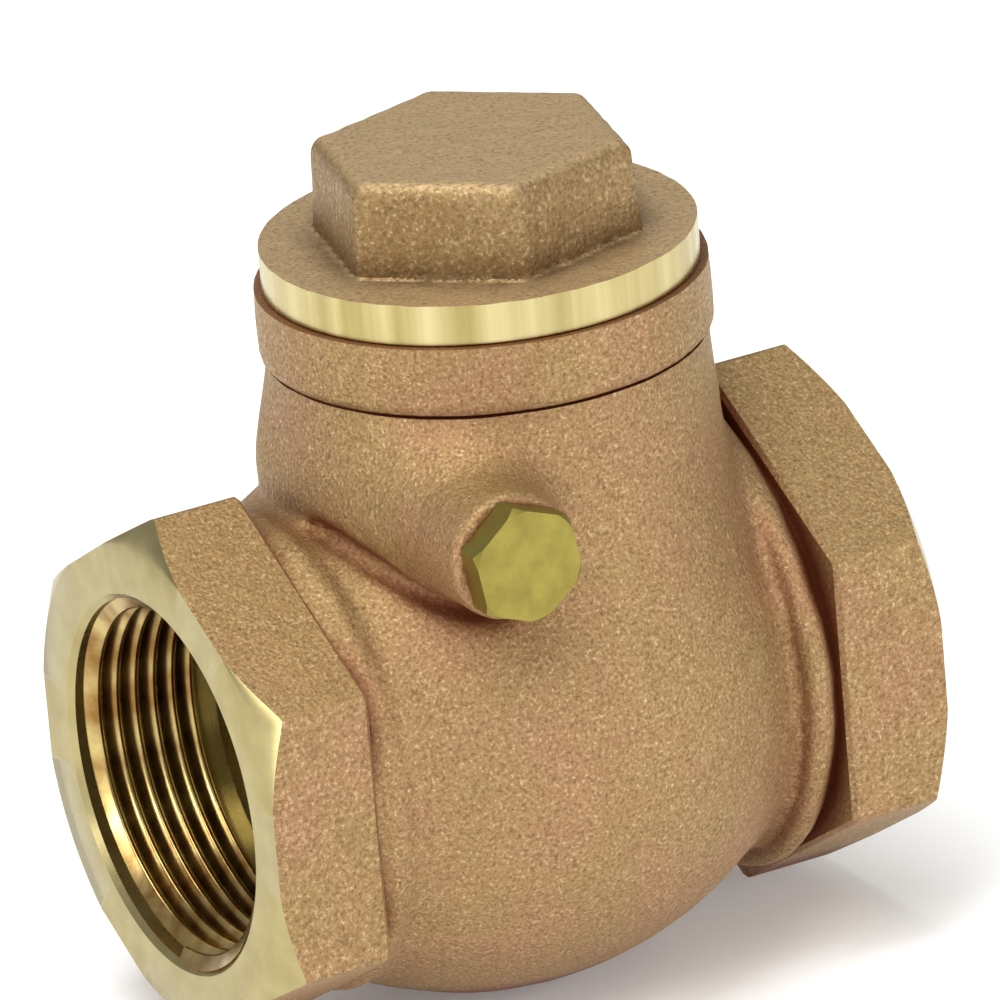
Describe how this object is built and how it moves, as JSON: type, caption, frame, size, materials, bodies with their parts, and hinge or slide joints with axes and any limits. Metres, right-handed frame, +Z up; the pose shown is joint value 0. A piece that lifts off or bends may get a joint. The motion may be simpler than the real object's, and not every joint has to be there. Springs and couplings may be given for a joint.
{
  "type": "swing check valve",
  "caption": "Cast bronze swing check valve with female threaded hexagon ends, a round belly, a screwed hexagon cap and a hinged clapper inside.",
  "frame": {"origin": "centre of the inlet's end face, on the flow axis", "axes": "+X along the flow, inlet to outlet; +Z up, along the cap's axis; +Y away from the side with the pin's plug"},
  "size_m": [0.084, 0.0678, 0.0962],
  "materials": {
    "cast_bronze": "sand cast, unpolished",
    "cap_bronze": "sand cast, unpolished",
    "machined_brass": "turned bright",
    "turned_brass": "turned bright",
    "nut_brass": "milled hexagon",
    "plug_brass": "milled hexagon, dull",
    "hanger_bronze": "sand cast",
    "pin_steel": "ground stainless",
    "facing_rubber": "moulded nitrile",
    "gasket": "cut PTFE sheet"
  },
  "bodies": {
    "valve_body": {"body": "cast_bronze", "cap": "cap_bronze", "cap_gasket": "gasket", "hinge_pin": "pin_steel", "side_plug": "plug_brass"},
    "clapper": {"hanger": "hanger_bronze"},
    "disc_unit": {"disc_holder": "turned_brass", "disc_facing": "facing_rubber", "facing_retainer": "turned_brass", "retainer_screw": "turned_brass", "disc_washer": "turned_brass", "disc_nut": "nut_brass", "nut_cotter": "pin_steel"}
  },
  "joints": [
    {"name": "clapper_swing", "type": "hinge", "parent": "valve_body", "child": "clapper", "pos_m": [0.0292, 0, 0.0288], "axis": [0, -1, 0], "range_deg": [0, 50]},
    {"name": "disc_spin", "type": "hinge", "parent": "clapper", "child": "disc_unit", "pos_m": [0.03265, 0, 0.00067], "axis": [0.9925, 0, 0.1219], "continuous": true}
  ]
}
